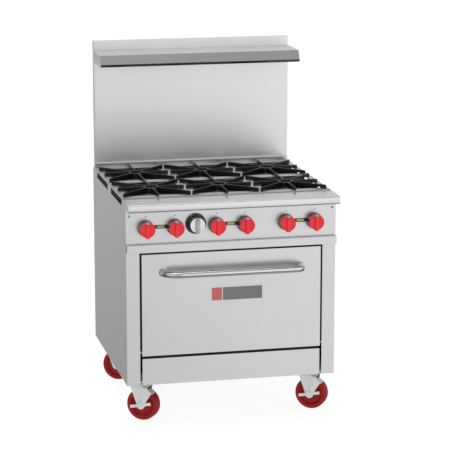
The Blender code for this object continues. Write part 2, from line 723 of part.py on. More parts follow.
def build_door():
    """Oven door: a skin, an inner panel with a plug, a bar handle and the hinge pins."""
    pivot = bpy.data.objects.new("door_pivot", None)
    pivot.location = place(0, *DOOR_AXIS)
    PARTS.objects.link(pivot)
    to_pivot = Matrix.Translation(-pivot.location)
    low = place(-DOOR_HALF_W, DOOR_FRONT, DOOR_Z[0])
    high = place(DOOR_HALF_W, DOOR_BACK, DOOR_Z[1])
    shell = solidify(tool_object("door_work", open_box_mesh(low, high, (0, 1, 0), "door_shell")))
    holes = [pin_mesh(sorted(side * x for x in PIN_HOLE_X), PIN_R + GAP) for side in (-1, 1)]
    mesh = baked(evaluated_mesh(shell, "shell"), "door_shell", cuts=holes)
    bpy.data.objects.remove(shell, do_unlink=True)
    mesh.transform(to_pivot)
    add_object("door_shell", mesh, STEEL, parent=pivot)
    back = DOOR_BACK + GAP
    edge = DOOR_HALF_W - 0.0005
    sheet = world_box((-edge, edge), (back, back + SHEET), (DOOR_Z[0] + 0.0005, DOOR_Z[1] - 0.0005))
    inner = PLUG_HALF_W - SHEET
    plug = world_box((-PLUG_HALF_W, PLUG_HALF_W), (back + 0.001, PLUG_BACK), PLUG_Z)
    room_z = (PLUG_Z[0] + SHEET, PLUG_Z[1] - SHEET)
    room = world_box((-inner, inner), (back - 0.01, PLUG_BACK - SHEET), room_z)
    mesh = baked(sheet, "door_liner", cuts=[room], joins=[plug])
    mesh.transform(to_pivot)
    add_object("door_liner", mesh, ENAMEL, parent=pivot)
    mesh = tube_mesh(handle_route(), HANDLE_R, "door_handle", 3)
    mesh.transform(to_pivot)
    add_object("door_handle", mesh, STEEL, parent=pivot)
    for name, side in (("door_hinge_pin_left", -1), ("door_hinge_pin_right", 1)):
        span = sorted((side * PIN_X[0], side * PIN_X[1]))
        add_object(name, smooth(pin_mesh(span, PIN_R)), PLATED)


def handle_route():
    """Centre line of the bar handle: two legs with round bends and a straight bar."""
    bar = HANDLE_R - FRONT_REACH
    inner = HANDLE_HALF_W - HANDLE_BEND
    bend = bar + HANDLE_BEND
    right = [(inner + HANDLE_BEND * math.sin(a), bend - HANDLE_BEND * math.cos(a))
             for a in [math.radians(15 * i) for i in range(7)]]
    right.append((HANDLE_HALF_W, DOOR_FRONT - GAP))
    left = [(-x, depth) for x, depth in reversed(right)]
    return [place(x, depth, HANDLE_Z) for x, depth in left + right]


def wheel_mesh():
    """Wheel with a moulded tread, a recessed face and a bore, turned about Y."""
    half = WHEEL_HALF_W
    side = [(BORE_R, half + 0.001), (0.016, half + 0.001), (0.018, half - 0.011), (0.046, half - 0.011),
            (0.051, half - 0.001), (0.064, half), (WHEEL_R, half - 0.007)]
    profile = side + [(radius, -height) for radius, height in reversed(side)]
    mesh = lathe_mesh(profile, "wheel", WHEEL_STEPS, closed=True)
    mesh.transform(Matrix.Rotation(math.pi / 2, 4, "X") @ Matrix.Rotation(math.pi / WHEEL_STEPS, 4, "Z"))
    return mesh


def fork_mesh():
    """Fork with two tapered legs, a crown, a swivel cup and the axle bolt."""
    legs = []
    foot = arc((CASTER_TRAIL, AXLE_Z), 0.018, 180 + 15, 360 - 15, 7)
    outline = [(CASTER_TRAIL - 0.050, CROWN_Z[1]), *foot, (CASTER_TRAIL + 0.030, CROWN_Z[1])]
    for side in (-1, 1):
        faces = sorted((side * LEG_INNER, side * (LEG_INNER + LEG_T)))
        legs.append(plate_mesh(outline, faces, "leg"))
    reach = LEG_INNER + LEG_T
    crown = box_mesh((CASTER_TRAIL - 0.0495, -LEG_INNER - 0.001, CROWN_Z[0]),
                     (CASTER_TRAIL + 0.0275, LEG_INNER + 0.001, CROWN_Z[1] - 0.0005))
    cup = cylinder_mesh(0.028, (0, 0, CROWN_Z[1] - 0.002), (0, 0, 0.1652), 16)
    joins = [*legs, cup]
    bolt = ((AXLE_R, -reach - 0.006, reach + 0.001, 12), (BOLT_HEAD_R, -0.042, -0.037, 6),
            (BOLT_HEAD_R, reach - 0.001, reach + 0.007, 6))
    for radius, start, end, steps in bolt:
        joins.append(cylinder_mesh(radius, (CASTER_TRAIL, start, AXLE_Z), (CASTER_TRAIL, end, AXLE_Z), steps))
    return baked(crown, "fork", joins=joins)


def lever_mesh():
    """Brake lever with two foot arms and a shoe held over the tread."""
    arms = [(-0.050, -0.006), (0.048, -0.006), (0.048, 0.007), (-0.050, 0.007)]
    tilted = [(x * math.cos(LEVER_TILT) - z * math.sin(LEVER_TILT),
               x * math.sin(LEVER_TILT) + z * math.cos(LEVER_TILT)) for x, z in arms]
    front, back = LEVER_FACES
    disc = plate_mesh(arc((0, 0), 0.018, 0, 345, 24), LEVER_FACES, "disc")
    bar = plate_mesh(tilted, (front + STEP, back - STEP), "arms")
    arm_top = [(-0.004, 0.010), (0.017, 0.004), (0.050, 0.056), (0.030, 0.080), (0.012, 0.080)]
    web = plate_mesh(arm_top, (front + 2 * STEP, back - 2 * STEP), "web")
    shoe = arc((0, 0), 0.0765, 45, 66, 5) + arc((0, 0), 0.0735, 66, 45, 5)
    pad = plate_mesh(shoe, (front + 5 * STEP, 0.004), "shoe")
    hole = cylinder_mesh(AXLE_R + 0.0006, (0, -0.05, 0), (0, -0.02, 0), 12)
    return baked(disc, "brake_lever", cuts=[hole], joins=[bar, web, pad])


def build_casters():
    """Four swivel casters, with brake levers on the front two."""
    wheel = wheel_mesh()
    fork = fork_mesh()
    lever = lever_mesh()
    mount = baked(box_mesh((-0.045, -0.038, BODY_BOTTOM - 0.0018), (0.045, 0.038, BODY_BOTTOM + 0.0022)),
                  "caster_plate", joins=[cylinder_mesh(0.026, (0, 0, 0.1655), (0, 0, 0.180), 16)])
    for row, depth in zip(("front", "rear"), CASTER_DEPTHS):
        for end, side in (("left", -1), ("right", 1)):
            spot = place(side * CASTER_X, depth, 0)
            tag = f"{row}_{end}"
            add_object(f"caster_plate_{tag}", mount, PLATED, spot)
            pivot = bpy.data.objects.new(f"caster_pivot_{tag}", None)
            pivot.location = spot
            pivot.rotation_euler = (0, 0, CASTER_TURN)
            PARTS.objects.link(pivot)
            add_object(f"caster_fork_{tag}", fork, PLATED, parent=pivot)
            axle = (CASTER_TRAIL, 0, AXLE_Z)
            add_object(f"caster_wheel_{tag}", wheel, RED_WHEEL, axle, parent=pivot)
            if row == "front":
                add_object(f"brake_lever_{tag}", lever, PLATED, axle, parent=pivot)


clear_scene()
PARTS = new_collection("commercial_gas_range")
CUTTERS = new_collection("cutters")
build_side_panels()
build_casing()
build_front_ledge()
build_cooktop()
build_grates()
build_burners()
build_gas_parts()
build_knobs()
build_riser()
build_oven()
build_drip_tray()
build_door()
build_casters()
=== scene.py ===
"""Looks of a commercial gas range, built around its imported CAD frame. Metres, Z up, front towards -Y."""
import json
import math

import bmesh
import bpy
from mathutils import Matrix, Vector


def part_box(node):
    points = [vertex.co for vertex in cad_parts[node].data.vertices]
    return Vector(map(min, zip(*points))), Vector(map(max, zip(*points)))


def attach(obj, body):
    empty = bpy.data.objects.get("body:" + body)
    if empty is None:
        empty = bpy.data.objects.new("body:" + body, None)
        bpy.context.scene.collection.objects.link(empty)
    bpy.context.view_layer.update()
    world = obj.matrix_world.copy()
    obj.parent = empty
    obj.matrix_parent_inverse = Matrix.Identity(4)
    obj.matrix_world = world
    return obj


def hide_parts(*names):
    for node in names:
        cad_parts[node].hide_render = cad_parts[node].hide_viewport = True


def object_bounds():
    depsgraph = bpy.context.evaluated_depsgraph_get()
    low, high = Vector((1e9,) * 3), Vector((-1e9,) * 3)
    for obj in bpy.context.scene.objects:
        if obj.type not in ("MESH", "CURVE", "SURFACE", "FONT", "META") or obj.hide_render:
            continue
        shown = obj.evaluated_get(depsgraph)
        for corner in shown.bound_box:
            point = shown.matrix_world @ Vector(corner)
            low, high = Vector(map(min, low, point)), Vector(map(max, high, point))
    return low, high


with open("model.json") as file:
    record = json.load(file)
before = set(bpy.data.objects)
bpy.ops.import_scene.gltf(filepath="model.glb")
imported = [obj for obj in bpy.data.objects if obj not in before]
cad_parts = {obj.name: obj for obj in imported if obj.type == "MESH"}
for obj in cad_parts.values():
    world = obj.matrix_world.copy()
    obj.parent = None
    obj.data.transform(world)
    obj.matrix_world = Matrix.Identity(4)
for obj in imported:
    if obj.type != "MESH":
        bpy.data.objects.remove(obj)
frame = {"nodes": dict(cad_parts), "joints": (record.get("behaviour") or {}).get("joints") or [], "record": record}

CAD_LOW, CAD_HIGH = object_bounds()
SCENE = bpy.context.scene
CAD = frame["nodes"]
BODY_OF = {node: body for body, nodes in frame["record"]["behaviour"]["bodies"].items() for node in nodes}
SLOT_OF = {part["node"]: part["material_slot"] for part in frame["record"]["subparts"]}
JOINTS = {joint["name"]: joint for joint in frame["joints"]}
FACE_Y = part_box("control_panel")[0].y
CASTERS = ("front_left", "front_right", "rear_left", "rear_right")
GRATES = range(1, 7)
KNOBS = range(1, 7)

# Camera and studio light
CAMERA_AT = (-1.872, -8.471, 2.654)
CAMERA_TILT, CAMERA_PAN = 77.82, -12.84
CAMERA_LENS = 159.99
FLOOR_REACH = 60
FLOOR_GLOW = 0.92
SUN_POWER = 1.1
SUN_SPREAD = 50
SUN_TOWARDS = (0.15, -0.10, -1.0)
ROOM = 0.52
DARKEST, LIGHTEST = 0.04, 1.15
# Glows of the room: direction, reach in degrees, amount
GLOWS = (((0.60, -0.80, 0.0), 42, 1.6), ((0.0, -1.0, -0.1), 60, 0.10), ((0.0, 0.98, 0.1), 50, 0.24),
         ((-0.75, -0.65, -0.1), 42, 0.35), ((0.0, 0.0, -1.0), 95, -0.85), ((0.0, 0.0, -1.0), 60, 0.8),
         ((-0.95, 0.3, 0.0), 42, -0.36), ((0.15, -0.6, 0.78), 42, -0.17))

# Rounded edges
EDGE_ANGLE = 35
EDGE_WIDTH = 0.0008

# Knobs and control panel
RED_KNOB_R, WHITE_KNOB_R = 0.0332, 0.0322
BAR_RISE = 0.0115
BAR_WIDE, BAR_SLIM = 0.0104, 0.0064
DIAL_R = 0.030
MARK_ANGLE = 28
LABEL_RISE = 0.005
PILOT_RISE = 0.051
SCREW_X, SCREW_RISE = 0.442, 0.0545
PANEL_SCREW_R = 0.0048
FOLD_DEPTH = 0.0140

# Grates: arm ends, where their undersides start to rise, and the hub
ARM_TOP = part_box("grate_1")[1].z
ARM_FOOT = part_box("burner_frame")[1].z + 0.0003
ARM_END_X, DIAGONAL_END_Y = 0.145, 0.143
BELLY_X, BELLY_Y, BELLY_DIAGONAL = 0.119, 0.141, 0.169
ARM_START = 0.031
HUB_DROP = 0.0165
HUB_R, HUB_HOLE_R = 0.0380, 0.0270
PORTS = 36
PORT_R, PORT_ROOT_R = 0.0462, 0.0445

# Door
HANDLE_SWEEP = 0.072
HANDLE_BEND = 0.030
PLATE_X = (-0.0905, 0.1340)
PLATE_Z = (0.5365, 0.5965)
PLATE_SPLIT = 0.0485
GASKET_HALF_W = 0.3685
GASKET_Z = (0.3245, 0.7255)
GASKET_BEND, GASKET_R = 0.020, 0.0043
GASKET_DEPTH = 0.0410

# Shelf, back panel and gas inlet
RIVET_DEPTHS, RIVET_Z, RIVET_R = (0.665, 0.715, 0.765), 1.500, 0.0030
BACK_SCREW_X, BACK_SCREW_INSET = 0.225, 0.020
BACK_SCREW_R, BACK_SCREW_H = 0.0048, 0.0036
LOUVRE_ROWS, LOUVRE_STEP, LOUVRE_RISE = 5, 0.030, 0.47
LOUVRE_X, LOUVRE_LONG = (-0.29, -0.01), 0.22
RISER_SCREW_X, RISER_SCREW_Z, RISER_SCREW_R = 0.435, (1.02, 1.20, 1.38, 1.53), 0.0042
PIPE_X, PIPE_Z = 0.405, 0.842
THREAD_R, THREAD_HOLE_R, THREAD_TURNS = 0.0134, 0.0120, 12

# Casters
PLATE_UNDERSIDE = 0.1792
PLATE_BOLT_INSET, PLATE_BOLT_R, PLATE_BOLT_H = 0.008, 0.0050, 0.0046


# ---------------------------------------------------------------- node graphs

def new_graph(name):
    """Material with an empty Principled graph, its tree and its shader."""
    material = bpy.data.materials.new(name)
    material.use_nodes = True
    tree = material.node_tree
    return material, tree, tree.nodes["Principled BSDF"]


def node(tree, kind, **settings):
    """New node of a kind, with its own settings such as operation."""
    made = tree.nodes.new(kind)
    for key, value in settings.items():
        setattr(made, key, value)
    return made


def feed(tree, made, **inputs):
    """Sets or links inputs of a node by name, with _ for a space."""
    for key, value in inputs.items():
        socket = made.inputs[key.replace("_", " ")]
        if isinstance(value, bpy.types.NodeSocket):
            tree.links.new(value, socket)
        else:
            socket.default_value = value
    return made


def stretched_noise(tree, scale, detail=3.0, roughness=0.6):
    """Noise on object coordinates, with cycles per metre along X, Y and Z."""
    coords = node(tree, "ShaderNodeTexCoord")
    mapping = feed(tree, node(tree, "ShaderNodeMapping"), Vector=coords.outputs["Object"], Scale=scale)
    noise = feed(tree, node(tree, "ShaderNodeTexNoise"), Vector=mapping.outputs["Vector"],
                 Scale=1.0, Detail=detail, Roughness=roughness)
    return noise.outputs["Fac"]


def remap(tree, value, low, high, to_low, to_high):
    """Value moved from one range to another, and kept inside it."""
    made = feed(tree, node(tree, "ShaderNodeMapRange"), Value=value, From_Min=low, From_Max=high,
                To_Min=to_low, To_Max=to_high)
    return made.outputs["Result"]


def mix_colour(tree, factor, first, second):
    """Colour between two others by a factor; each may be a socket or a constant."""
    made = node(tree, "ShaderNodeMix", data_type="RGBA")
    for socket, value in ((0, factor), (6, first), (7, second)):
        if isinstance(value, bpy.types.NodeSocket):
            tree.links.new(value, made.inputs[socket])
        else:
            made.inputs[socket].default_value = value
    return made.outputs[2]


def surface(name, dark, light, roughness, grain, metallic=0.0, bump=0.2, depth=0.0002, patches=3.0,
            coat=0.0, anisotropic=0.0, specular=0.5, detail=3.0):
    """Finish whose grain drives colour, roughness and bump, with large soft patches over it."""
    material, tree, shader = new_graph(name)
    fine = stretched_noise(tree, grain, detail)
    broad = stretched_noise(tree, (patches,) * 3, 2.0)
    factor = node(tree, "ShaderNodeMath", operation="ADD")
    tree.links.new(remap(tree, fine, 0.3, 0.7, 0.0, 0.6), factor.inputs[0])
    tree.links.new(remap(tree, broad, 0.3, 0.7, 0.0, 0.4), factor.inputs[1])
    colour = mix_colour(tree, factor.outputs[0], (*dark, 1), (*light, 1))
    gloss = remap(tree, factor.outputs[0], 0.0, 1.0, *roughness)
    height = feed(tree, node(tree, "ShaderNodeBump"), Height=fine, Strength=bump, Distance=depth)
    feed(tree, shader, Base_Color=colour, Roughness=gloss, Normal=height.outputs["Normal"])
    shader.inputs["Metallic"].default_value = metallic
    shader.inputs["Coat Weight"].default_value = coat
    shader.inputs["Coat Roughness"].default_value = 0.08
    shader.inputs["Anisotropic"].default_value = anisotropic
    shader.inputs["Specular IOR Level"].default_value = specular
    return material


# Grain in cycles per metre along X, Y and Z
ALONG_X = (2.0, 700.0, 700.0)
ROUND_BODY = (2.0, 2.0, 700.0)
SPECKLE = (900.0, 900.0, 900.0)

STEEL_X = surface("brushed_steel_along_x", (0.64, 0.64, 0.64), (0.72, 0.72, 0.72), (0.28, 0.34), ALONG_X,
                  metallic=1.0, anisotropic=0.3, bump=0.05, depth=0.00005, detail=4.0)
STEEL_Z = surface("brushed_steel_round_body", (0.64, 0.64, 0.64), (0.72, 0.72, 0.72), (0.28, 0.36),
                  ROUND_BODY, metallic=1.0, anisotropic=0.3, bump=0.05, depth=0.00005, detail=4.0)
STEEL_LEDGE = surface("brushed_steel_ledge", (0.64, 0.64, 0.64), (0.72, 0.72, 0.72), (0.19, 0.25), ALONG_X,
                      metallic=1.0, anisotropic=0.2, bump=0.03, depth=0.00003, detail=4.0)
# Cooktop steel: the same stainless with its tone darkened to about half, as painted shade and dark reflection
# between the grates
STEEL_TOP_PAINTED_SHADE = surface("brushed_steel_cooktop_painted_shade", (0.34, 0.34, 0.34), (0.42, 0.42, 0.42), (0.15, 0.23), ALONG_X,
                    metallic=1.0, anisotropic=0.3, bump=0.10, depth=0.00008, detail=4.0)
# Backsplash steel: the same stainless with its tone raised, a lighter copy of the front steel as painted light
STEEL_RISER_PAINTED_LIGHT = surface("brushed_steel_riser_painted_light", (0.78, 0.78, 0.78), (0.86, 0.86, 0.86), (0.35, 0.45),
                      ROUND_BODY, metallic=1.0, anisotropic=0.3, bump=0.10, depth=0.00008, detail=4.0)
TUBE_STEEL = surface("polished_tube", (0.66, 0.66, 0.66), (0.76, 0.76, 0.76), (0.14, 0.24), ALONG_X,
                     metallic=1.0, bump=0.08, depth=0.00008)
ZINC = surface("zinc_plate", (0.78, 0.80, 0.79), (0.90, 0.92, 0.91), (0.34, 0.50), (260.0, 260.0, 260.0),
               metallic=0.4, patches=30.0)
ENAMEL = surface("speckled_enamel", (0.012, 0.013, 0.018), (0.05, 0.055, 0.07), (0.15, 0.28), SPECKLE,
                 bump=0.05, coat=0.4)
IRON = surface("cast_iron", (0.003, 0.003, 0.003), (0.012, 0.012, 0.012), (0.26, 0.42),
               (700.0, 700.0, 700.0), bump=0.3, depth=0.0002, patches=20.0)
ALUMINISED = surface("aluminised_sheet", (0.40, 0.41, 0.41), (0.60, 0.61, 0.61), (0.40, 0.62),
                     (120.0, 120.0, 120.0), metallic=0.9, patches=40.0)
CHROME = surface("rack_chrome", (0.70, 0.70, 0.71), (0.82, 0.82, 0.83), (0.08, 0.20), SPECKLE,
                 metallic=1.0, bump=0.05)
BRASS = surface("brass", (0.42, 0.30, 0.10), (0.66, 0.50, 0.22), (0.25, 0.45), SPECKLE, metallic=1.0,
                patches=40.0)
BLACK = surface("black_enamelled_metal", (0.008, 0.008, 0.008), (0.022, 0.022, 0.022), (0.14, 0.26),
                SPECKLE, bump=0.08, coat=0.5)
RED_PLASTIC = surface("red_moulding", (0.84, 0.030, 0.045), (0.96, 0.048, 0.064), (0.34, 0.48), SPECKLE,
                      bump=0.08, coat=0.05, specular=0.3)
WHITE_PLASTIC = surface("white_moulding", (0.88, 0.88, 0.88), (0.96, 0.96, 0.96), (0.25, 0.40), SPECKLE,
                        bump=0.10, coat=0.3)
RED_TREAD = surface("red_polyurethane", (0.26, 0.006, 0.008), (0.38, 0.010, 0.013), (0.36, 0.52),
                    (300.0, 300.0, 300.0), bump=0.15, patches=40.0, specular=0.22)
# Dark metal skirt of the red knobs; its red tint is a painted reflection of the red cap
KNOB_SKIRT_PAINTED_REFLECTION = surface("dark_metal_skirt_painted_red_reflection", (0.24, 0.10, 0.11), (0.36, 0.16, 0.17), (0.16, 0.28),
                    (900.0, 900.0, 60.0), metallic=0.8, bump=0.05, patches=30.0)
PLATE_BLACK = surface("black_label", (0.006, 0.006, 0.006), (0.016, 0.016, 0.016), (0.22, 0.36), SPECKLE,
                      bump=0.04)
GOLD = surface("gold_label", (0.42, 0.32, 0.10), (0.60, 0.48, 0.20), (0.28, 0.42), SPECKLE, metallic=0.8,
               bump=0.04, patches=120.0)
PLATE_GREY = surface("anodised_plate", (0.16, 0.16, 0.165), (0.22, 0.22, 0.225), (0.26, 0.38), ALONG_X,
                     metallic=0.7, bump=0.08)
PLATE_PALE = surface("plate_backing", (0.62, 0.62, 0.62), (0.74, 0.74, 0.74), (0.34, 0.46), SPECKLE,
                     bump=0.05)
PLATE_RED = surface("plate_red", (0.50, 0.10, 0.11), (0.60, 0.14, 0.15), (0.34, 0.46), SPECKLE, bump=0.05)
BAR_GREY = surface("grey_moulding", (0.38, 0.38, 0.39), (0.50, 0.50, 0.51), (0.25, 0.38), SPECKLE,
                   metallic=0.4, bump=0.08)
ROPE = surface("oven_gasket", (0.03, 0.03, 0.03), (0.12, 0.12, 0.12), (0.75, 0.95),
               (1400.0, 1400.0, 1400.0), bump=0.9, depth=0.0008)
WORN_IRON = surface("worn_burner_cap", (0.035, 0.034, 0.033), (0.16, 0.155, 0.15), (0.40, 0.62),
                    (500.0, 500.0, 500.0), metallic=0.5, bump=0.4, depth=0.0003, patches=60.0)
BOLT = surface("bolt_steel", (0.30, 0.30, 0.30), (0.52, 0.52, 0.52), (0.22, 0.40), SPECKLE, metallic=1.0,
               bump=0.1, patches=200.0)

# Finish of each material slot, and of the nodes whose steel is brushed another way or has its own gloss or tone;
# the backsplash's lighter tone is painted light, the burner frame's darker tone painted shade
FINISH = {"stainless": STEEL_X, "zinc_plated": ZINC, "enamel": ENAMEL, "cast_iron": IRON,
          "aluminised": ALUMINISED, "rack_chrome": CHROME, "brass": BRASS, "black_dial": BLACK,
          "knob_red": RED_PLASTIC, "knob_white": WHITE_PLASTIC, "wheel_red": RED_TREAD}
OWN_STEEL = {"side_panel_left": STEEL_Z, "side_panel_right": STEEL_Z, "back_panel": STEEL_Z,
             "backsplash": STEEL_RISER_PAINTED_LIGHT, "burner_frame": STEEL_TOP_PAINTED_SHADE, "front_ledge": STEEL_LEDGE}


# ---------------------------------------------------------------- mesh helpers

def at(x, depth, z):
    """Point on the range: across, back from the control panel's face, and up."""
    return Vector((x, FACE_Y + depth, z))


def add_piece(name, bm, material, body, stands_for=(), sharp=35):
    """Object made of a finished mesh, shaded by angle, riding on a CAD body."""
    bmesh.ops.recalc_face_normals(bm, faces=bm.faces)
    mesh = bpy.data.meshes.new(name)
    bm.to_mesh(mesh)
    bm.free()
    mesh.shade_smooth()
    mesh.set_sharp_from_angle(angle=math.radians(sharp))
    mesh.materials.append(material)
    obj = bpy.data.objects.new(name, mesh)
    SCENE.collection.objects.link(obj)
    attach(obj, body)
    if stands_for:
        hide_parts(*stands_for)
    return obj


def soften(obj, width):
    """Rounds every edge sharper than EDGE_ANGLE."""
    bevel = obj.modifiers.new("Rounded edges", "BEVEL")
    bevel.width = width
    bevel.segments = 2
    bevel.limit_method = "ANGLE"
    bevel.angle_limit = math.radians(EDGE_ANGLE)
    bevel.harden_normals = True


def refine(cad_node, width=EDGE_WIDTH, material=None):
    """Copy of a CAD node with rounded edges, which stands for it."""
    bm = bmesh.new()
    bm.from_mesh(CAD[cad_node].data)
    bmesh.ops.remove_doubles(bm, verts=bm.verts, dist=0.00001)
    bmesh.ops.dissolve_limit(bm, angle_limit=math.radians(1), verts=bm.verts, edges=bm.edges)
    slot = SLOT_OF[cad_node]
    finish = material or FINISH[slot]
    soften(add_piece(f"{cad_node}_shown", bm, finish, BODY_OF[cad_node], (cad_node,)), width)


def add_lathe(bm, profile, matrix=Matrix(), steps=32, closed=False):
    """Turns a profile of radius and height about the matrix's Z; a radius of zero closes an end."""
    rings = []
    for radius, height in profile:
        count = 1 if radius == 0 else steps
        angles = [2 * math.pi * i / count for i in range(count)]
        rings.append([bm.verts.new(matrix @ Vector((radius * math.cos(a), radius * math.sin(a), height)))
                      for a in angles])
    pairs = list(zip(rings, rings[1:]))
    if closed:
        pairs.append((rings[-1], rings[0]))
    for low, high in pairs:
        for i in range(steps):
            corners = (low[i % len(low)], low[(i + 1) % len(low)],
                       high[(i + 1) % len(high)], high[i % len(high)])
            bm.faces.new(list(dict.fromkeys(corners)))


def add_plate(bm, outline, low, high, matrix=Matrix(), taper=None):
    """Prism on an outline in the matrix's XY plane, from low to high along Z.

    A taper scales low and high at each point of the outline.
    """
    floors = []
    for level in (low, high):
        floors.append([bm.verts.new(matrix @ Vector((x, y, level * (taper(x, y) if taper else 1))))
                       for x, y in outline])
    bm.faces.new(floors[0])
    bm.faces.new(reversed(floors[1]))
    count = len(outline)
    for i in range(count):
        bm.faces.new((floors[0][i], floors[1][i], floors[1][(i + 1) % count], floors[0][(i + 1) % count]))


def add_tube(bm, route, radius, steps=20, loop=False):
    """Round bar along a route of points, with closed ends or joined up into a loop."""
    points = [Vector(p) for p in route]
    side = None
    rings = []
    for i, point in enumerate(points):
        after = points[(i + 1) % len(points)] if loop else points[min(i + 1, len(points) - 1)]
        along = (after - points[i - 1 if loop else max(i - 1, 0)]).normalized()
        side = side or along.orthogonal()
        side = (side - along * side.dot(along)).normalized()
        other = along.cross(side)
        rings.append([bm.verts.new(point + radius * (side * math.cos(a) + other * math.sin(a)))
                      for a in [2 * math.pi * k / steps for k in range(steps)]])
    if loop:
        rings.append(rings[0])
    for low, high in zip(rings, rings[1:]):
        for k in range(steps):
            bm.faces.new((low[k], low[(k + 1) % steps], high[(k + 1) % steps], high[k]))
    if not loop:
        bm.faces.new(reversed(rings[0]))
        bm.faces.new(rings[-1])


# Frame for an outline given by depth and height, extruded along X
ACROSS = Matrix(((0, 0, 1, 0), (1, 0, 0, FACE_Y), (0, 1, 0, 0), (0, 0, 0, 1)))


def facing(point, turn=0.0):
    """Frame at a point on an upright face: X across, Y up, Z out of it. Turn 0 faces the front."""
    return Matrix.Translation(point) @ Matrix.Rotation(math.radians(turn), 4, "Z") @ Matrix.Rotation(
        math.pi / 2, 4, "X")


def rounded(half_w, half_h, radius, count=5):
    """Outline of a rectangle with round corners."""
    points = []
    for cx, cy, start in ((1, 1, 0), (-1, 1, 90), (-1, -1, 180), (1, -1, 270)):
        for i in range(count):
            angle = math.radians(start + 90 * i / (count - 1))
            points.append((cx * (half_w - radius) + radius * math.cos(angle),
                           cy * (half_h - radius) + radius * math.sin(angle)))
    return points


def add_hex_bolt(bm, matrix, radius, height):
    """Washer and hexagon head with a chamfered top, standing on the matrix's XY plane."""
    washer, step = radius * 1.35, height * 0.2
    add_lathe(bm, [(0, 0), (washer, 0), (washer, step), (0, step)], matrix, 20)
    add_lathe(bm, [(0, step), (radius, step), (radius, height * 0.85), (radius * 0.82, height), (0, height)],
              matrix, 6)


def add_pan_screw(bm, matrix, radius):
    """Domed screw head with a round drive recess."""
    profile = ((0, 0), (1, 0), (0.95, 0.28), (0.7, 0.5), (0.36, 0.6), (0.30, 0.3), (0, 0.22))
    add_lathe(bm, [(radius * out, radius * up) for out, up in profile], matrix, 16)


# ---------------------------------------------------------------- studio

def build_camera():
    """Long lens at the photograph's angle, a little above and to the left of the front."""
    data = bpy.data.cameras.new("camera")
    data.lens = CAMERA_LENS
    data.sensor_width = 36.0
    data.clip_end = 200.0
    camera = bpy.data.objects.new("camera", data)
    camera.location = CAMERA_AT
    camera.rotation_euler = (math.radians(CAMERA_TILT), 0.0, math.radians(CAMERA_PAN))
    SCENE.collection.objects.link(camera)
    SCENE.camera = camera


def build_floor():
    """Plain pale floor that glows a little, so that shadows on it stay faint."""
    bm = bmesh.new()
    bmesh.ops.create_grid(bm, x_segments=8, y_segments=8, size=FLOOR_REACH)
    mesh = bpy.data.meshes.new("floor")
    bm.to_mesh(mesh)
    bm.free()
    floor = bpy.data.objects.new("floor", mesh)
    SCENE.collection.objects.link(floor)
    material = surface("pale_floor", (0.13, 0.13, 0.13), (0.15, 0.15, 0.15), (0.8, 0.9),
                       (30.0, 30.0, 30.0), bump=0.0, specular=0.0)
    shader = material.node_tree.nodes["Principled BSDF"]
    shader.inputs["Emission Color"].default_value = (1, 1, 1, 1)
    shader.inputs["Emission Strength"].default_value = FLOOR_GLOW
    mesh.materials.append(material)
    floor.visible_glossy = False


def lobe(tree, direction, towards, reach, amount):
    """Soft glow round one direction of the room: its full amount there, none past reach degrees."""
    dot = node(tree, "ShaderNodeVectorMath", operation="DOT_PRODUCT")
    tree.links.new(direction, dot.inputs[0])
    dot.inputs[1].default_value = Vector(towards).normalized()
    made = feed(tree, node(tree, "ShaderNodeMapRange", interpolation_type="SMOOTHSTEP"),
                Value=dot.outputs["Value"], From_Min=math.cos(math.radians(reach)), From_Max=1.0,
                To_Min=0.0, To_Max=amount)
    return made.outputs["Result"]


def build_world():
    """Grey studio room with soft glows, brightest low down at the front right."""
    world = bpy.data.worlds.new("studio")
    world.use_nodes = True
    SCENE.world = world
    tree = world.node_tree
    coords = node(tree, "ShaderNodeTexCoord")
    total = None
    for towards, reach, amount in GLOWS:
        glow = lobe(tree, coords.outputs["Generated"], towards, reach, amount)
        add = node(tree, "ShaderNodeMath", operation="ADD")
        tree.links.new(glow, add.inputs[0])
        if total is None:
            add.inputs[1].default_value = ROOM
        else:
            tree.links.new(total, add.inputs[1])
        total = add.outputs[0]
    limited = feed(tree, node(tree, "ShaderNodeClamp"), Value=total, Min=DARKEST, Max=LIGHTEST)
    background = tree.nodes["Background"]
    tree.links.new(limited.outputs["Result"], background.inputs["Color"])
    background.inputs["Strength"].default_value = 1.0


def build_lights():
    """One wide sun overhead."""
    data = bpy.data.lights.new("soft_sun", "SUN")
    data.energy = SUN_POWER
    data.angle = math.radians(SUN_SPREAD)
    sun = bpy.data.objects.new("soft_sun", data)
    sun.rotation_euler = Vector(SUN_TOWARDS).to_track_quat("-Z", "Y").to_euler()
    SCENE.collection.objects.link(sun)


# ---------------------------------------------------------------- controls

def centre_of(cad_node):
    """Middle of a CAD node's box at rest."""
    low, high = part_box(cad_node)
    return (low + high) / 2


def knob_frame(cad_node):
    """Frame at the back of a knob or dial, with Z towards the cook, and its height along Z."""
    low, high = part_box(cad_node)
    middle = centre_of(cad_node)
    return facing(Vector((middle.x, high.y, middle.z))), high.y - low.y


